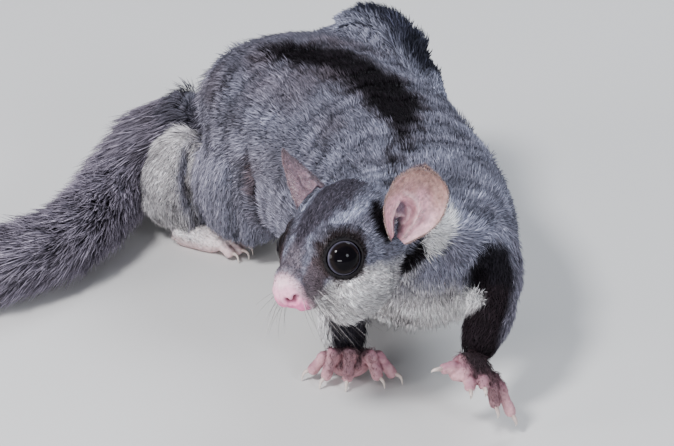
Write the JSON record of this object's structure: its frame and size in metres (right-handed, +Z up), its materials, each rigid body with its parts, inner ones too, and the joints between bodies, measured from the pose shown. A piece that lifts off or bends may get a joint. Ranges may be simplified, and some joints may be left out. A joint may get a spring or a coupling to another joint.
{
  "type": "sugar glider",
  "caption": "Life-size museum-style model of a sugar glider stepping forward in a low crouch, with its gliding membranes folded along its flanks and its bushy tail on the floor.",
  "frame": {"origin": "on the floor, under the middle of the whole model's box, tail included", "axes": "+Z up; +X the animal's left when it faces the viewer, away from the tail; +Y towards the rump; the head looks towards -Y and -X"},
  "size_m": [0.2078, 0.147, 0.0666],
  "materials": {
    "grey_fur": "short dense silver-grey fur",
    "dark_fur": "short dense black-brown fur",
    "pale_fur": "short soft cream-white fur",
    "tail_fur": "long soft grey fur in loose locks",
    "skin": "bare creased pink skin, satin",
    "ear_skin": "thin bare skin with a downy sheen",
    "nose_skin": "moist bare pink skin",
    "eye": "wet, glossy black",
    "claw": "horn, semi-gloss"
  },
  "bodies": {
    "root": {"head": "grey_fur", "nose": "nose_skin", "eye_left": "eye", "eye_right": "eye", "ear_left": "ear_skin", "ear_right": "ear_skin", "neck": "grey_fur", "chest": "grey_fur", "belly": "grey_fur", "rump": "grey_fur", "upper_arm_left": "grey_fur", "upper_arm_right": "grey_fur", "forearm_left": "dark_fur", "forearm_right": "dark_fur", "hand_left": "skin", "hand_right": "skin", "thigh_left": "grey_fur", "thigh_right": "grey_fur", "shank_left": "grey_fur", "shank_right": "pale_fur", "foot_left": "skin", "foot_right": "skin", "membrane_left": "grey_fur", "membrane_right": "grey_fur", "tail_base": "tail_fur", "tail_bend": "tail_fur", "tail_middle": "tail_fur", "tail_tip": "tail_fur"}
  },
  "joints": []
}
